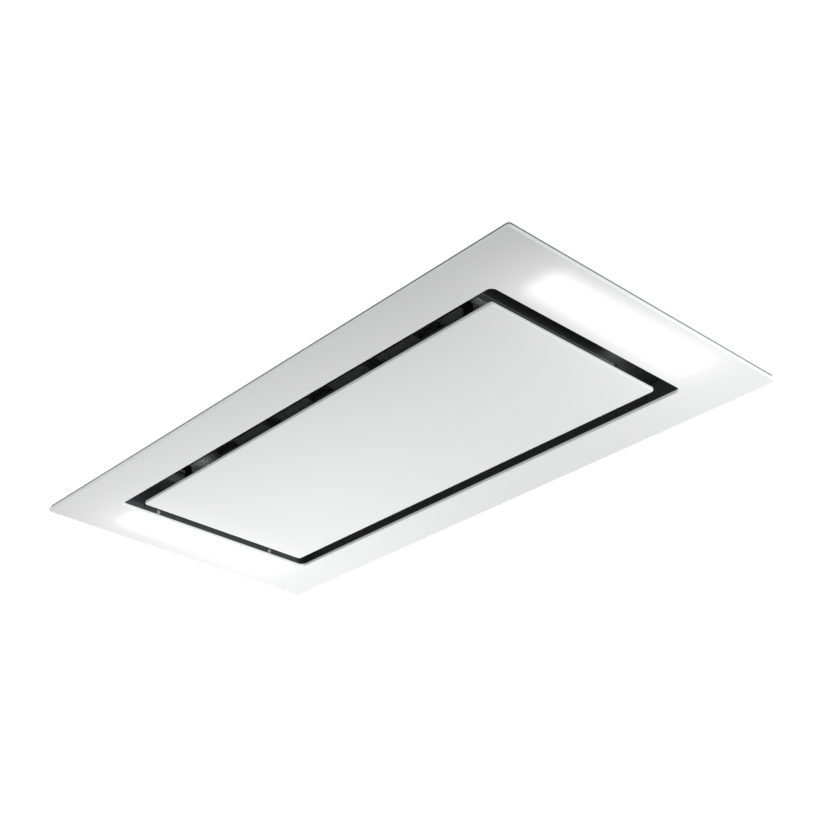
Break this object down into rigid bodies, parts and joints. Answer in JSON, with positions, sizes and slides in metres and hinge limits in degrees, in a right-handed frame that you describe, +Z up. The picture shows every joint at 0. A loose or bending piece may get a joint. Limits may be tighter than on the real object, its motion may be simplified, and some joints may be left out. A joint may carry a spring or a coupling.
{
  "type": "ceiling range hood",
  "caption": "Flat ceiling range hood: white glass frame and hinged glass panel with a suction gap round it, lit ends, grease filters, blower and duct collar above.",
  "frame": {"origin": "centre of the hood at the underside of its glass", "axes": "+X along the length, +Y towards the panel's hinges and the duct, +Z up into the ceiling"},
  "size_m": [1.2, 0.59, 0.232],
  "materials": {
    "white_glass": "white paint behind polished glass, edges ground",
    "dark_steel": "dark grey powder coat",
    "black_paint": "satin black paint",
    "gasket_foam": "closed-cell foam",
    "galvanised_steel": "galvanised sheet with a faint spangle",
    "aluminium": "satin anodised",
    "bright_steel": "zinc plated",
    "motor_steel": "plain steel",
    "black_plastic": "moulded, fine grain",
    "grey_plastic": "moulded, fine grain",
    "white_plastic": "moulded, fine grain",
    "opal_plastic": "opal, lit from behind"
  },
  "bodies": {
    "chassis": {"blower_lower": "grey_plastic", "blower_motor": "motor_steel", "blower_upper": "grey_plastic", "body_shell": "galvanised_steel", "cable_gland": "black_plastic", "capacitor": "white_plastic", "catch_magnet_left": "dark_steel", "catch_magnet_right": "dark_steel", "ceiling_gasket": "gasket_foam", "clamp_screw_1": "bright_steel", "clamp_screw_2": "bright_steel", "clamp_screw_3": "bright_steel", "clamp_screw_4": "bright_steel", "control_box": "white_plastic", "control_lid": "white_plastic", "duct_collar": "black_plastic", "filter_deck": "black_paint", "filter_frame_1": "aluminium", "filter_frame_2": "aluminium", "filter_frame_3": "aluminium", "filter_sheet_1": "aluminium", "filter_sheet_2": "aluminium", "filter_sheet_3": "aluminium", "flap_pin": "bright_steel", "frame_screw_1": "bright_steel", "frame_screw_2": "bright_steel", "frame_screw_3": "bright_steel", "frame_screw_4": "bright_steel", "frame_tray": "dark_steel", "glass_frame": "white_glass", "hanger_rail_left": "galvanised_steel", "hanger_rail_right": "galvanised_steel", "hinge_bracket_left": "bright_steel", "hinge_bracket_right": "bright_steel", "led_diffuser_left": "opal_plastic", "led_diffuser_right": "opal_plastic", "led_housing_left": "galvanised_steel", "led_housing_right": "galvanised_steel", "led_strip_left": "white_plastic", "led_strip_right": "white_plastic", "recess_liner": "black_paint", "terminal_block": "grey_plastic", "top_cover": "galvanised_steel"},
    "panel": {"panel_glass": "white_glass", "panel_tray": "black_paint", "catch_bracket_left": "black_paint", "catch_bracket_right": "black_paint", "hinge_leaf_left": "bright_steel", "hinge_leaf_right": "bright_steel"},
    "latch_1": {"filter_latch_1": "black_plastic"},
    "latch_2": {"filter_latch_2": "black_plastic"},
    "latch_3": {"filter_latch_3": "black_plastic"},
    "wheel": {"impeller": "black_plastic"},
    "flap_left": {"flap_left": "grey_plastic"},
    "flap_right": {"flap_right": "grey_plastic"},
    "clamp_1": {"clamp_dog_1": "galvanised_steel"},
    "clamp_2": {"clamp_dog_2": "galvanised_steel"},
    "clamp_3": {"clamp_dog_3": "galvanised_steel"},
    "clamp_4": {"clamp_dog_4": "galvanised_steel"}
  },
  "joints": [
    {"name": "panel_hinge", "type": "hinge", "parent": "chassis", "child": "panel", "pos_m": [0, 0.17, 0.034], "axis": [1, 0, 0], "range_deg": [0, 90]},
    {"name": "latch_slide_1", "type": "slide", "parent": "chassis", "child": "latch_1", "axis": [0, 1, 0], "range_m": [0, 0.0075], "stiffness_N_per_m": 600},
    {"name": "latch_slide_2", "type": "slide", "parent": "chassis", "child": "latch_2", "axis": [0, 1, 0], "range_m": [0, 0.0075], "stiffness_N_per_m": 600},
    {"name": "latch_slide_3", "type": "slide", "parent": "chassis", "child": "latch_3", "axis": [0, 1, 0], "range_m": [0, 0.0075], "stiffness_N_per_m": 600},
    {"name": "wheel_spin", "type": "hinge", "parent": "chassis", "child": "wheel", "pos_m": [-0.09, -0.04, 0.15], "axis": [0, 0, 1], "continuous": true},
    {"name": "flap_right_swing", "type": "hinge", "parent": "chassis", "child": "flap_right", "pos_m": [0, 0.266, 0.1485], "axis": [0, 0, 1], "range_deg": [0, 75], "stiffness_Nm_per_rad": 0.02},
    {"name": "flap_left_swing", "type": "hinge", "parent": "chassis", "child": "flap_left", "pos_m": [0, 0.266, 0.1485], "axis": [0, 0, 1], "range_deg": [-75, 0], "stiffness_Nm_per_rad": 0.02},
    {"name": "clamp_swing_1", "type": "hinge", "parent": "chassis", "child": "clamp_1", "pos_m": [-0.33, -0.256, 0.028], "axis": [0, 0, 1], "range_deg": [0, 90]},
    {"name": "clamp_swing_2", "type": "hinge", "parent": "chassis", "child": "clamp_2", "pos_m": [-0.33, 0.256, 0.028], "axis": [0, 0, 1], "range_deg": [-90, 0]},
    {"name": "clamp_swing_3", "type": "hinge", "parent": "chassis", "child": "clamp_3", "pos_m": [0.33, -0.256, 0.028], "axis": [0, 0, 1], "range_deg": [-90, 0]},
    {"name": "clamp_swing_4", "type": "hinge", "parent": "chassis", "child": "clamp_4", "pos_m": [0.33, 0.256, 0.028], "axis": [0, 0, 1], "range_deg": [0, 90]}
  ],
  "couplings": [
    {"joint": "flap_left_swing", "follows": "flap_right_swing", "ratio": -1}
  ]
}
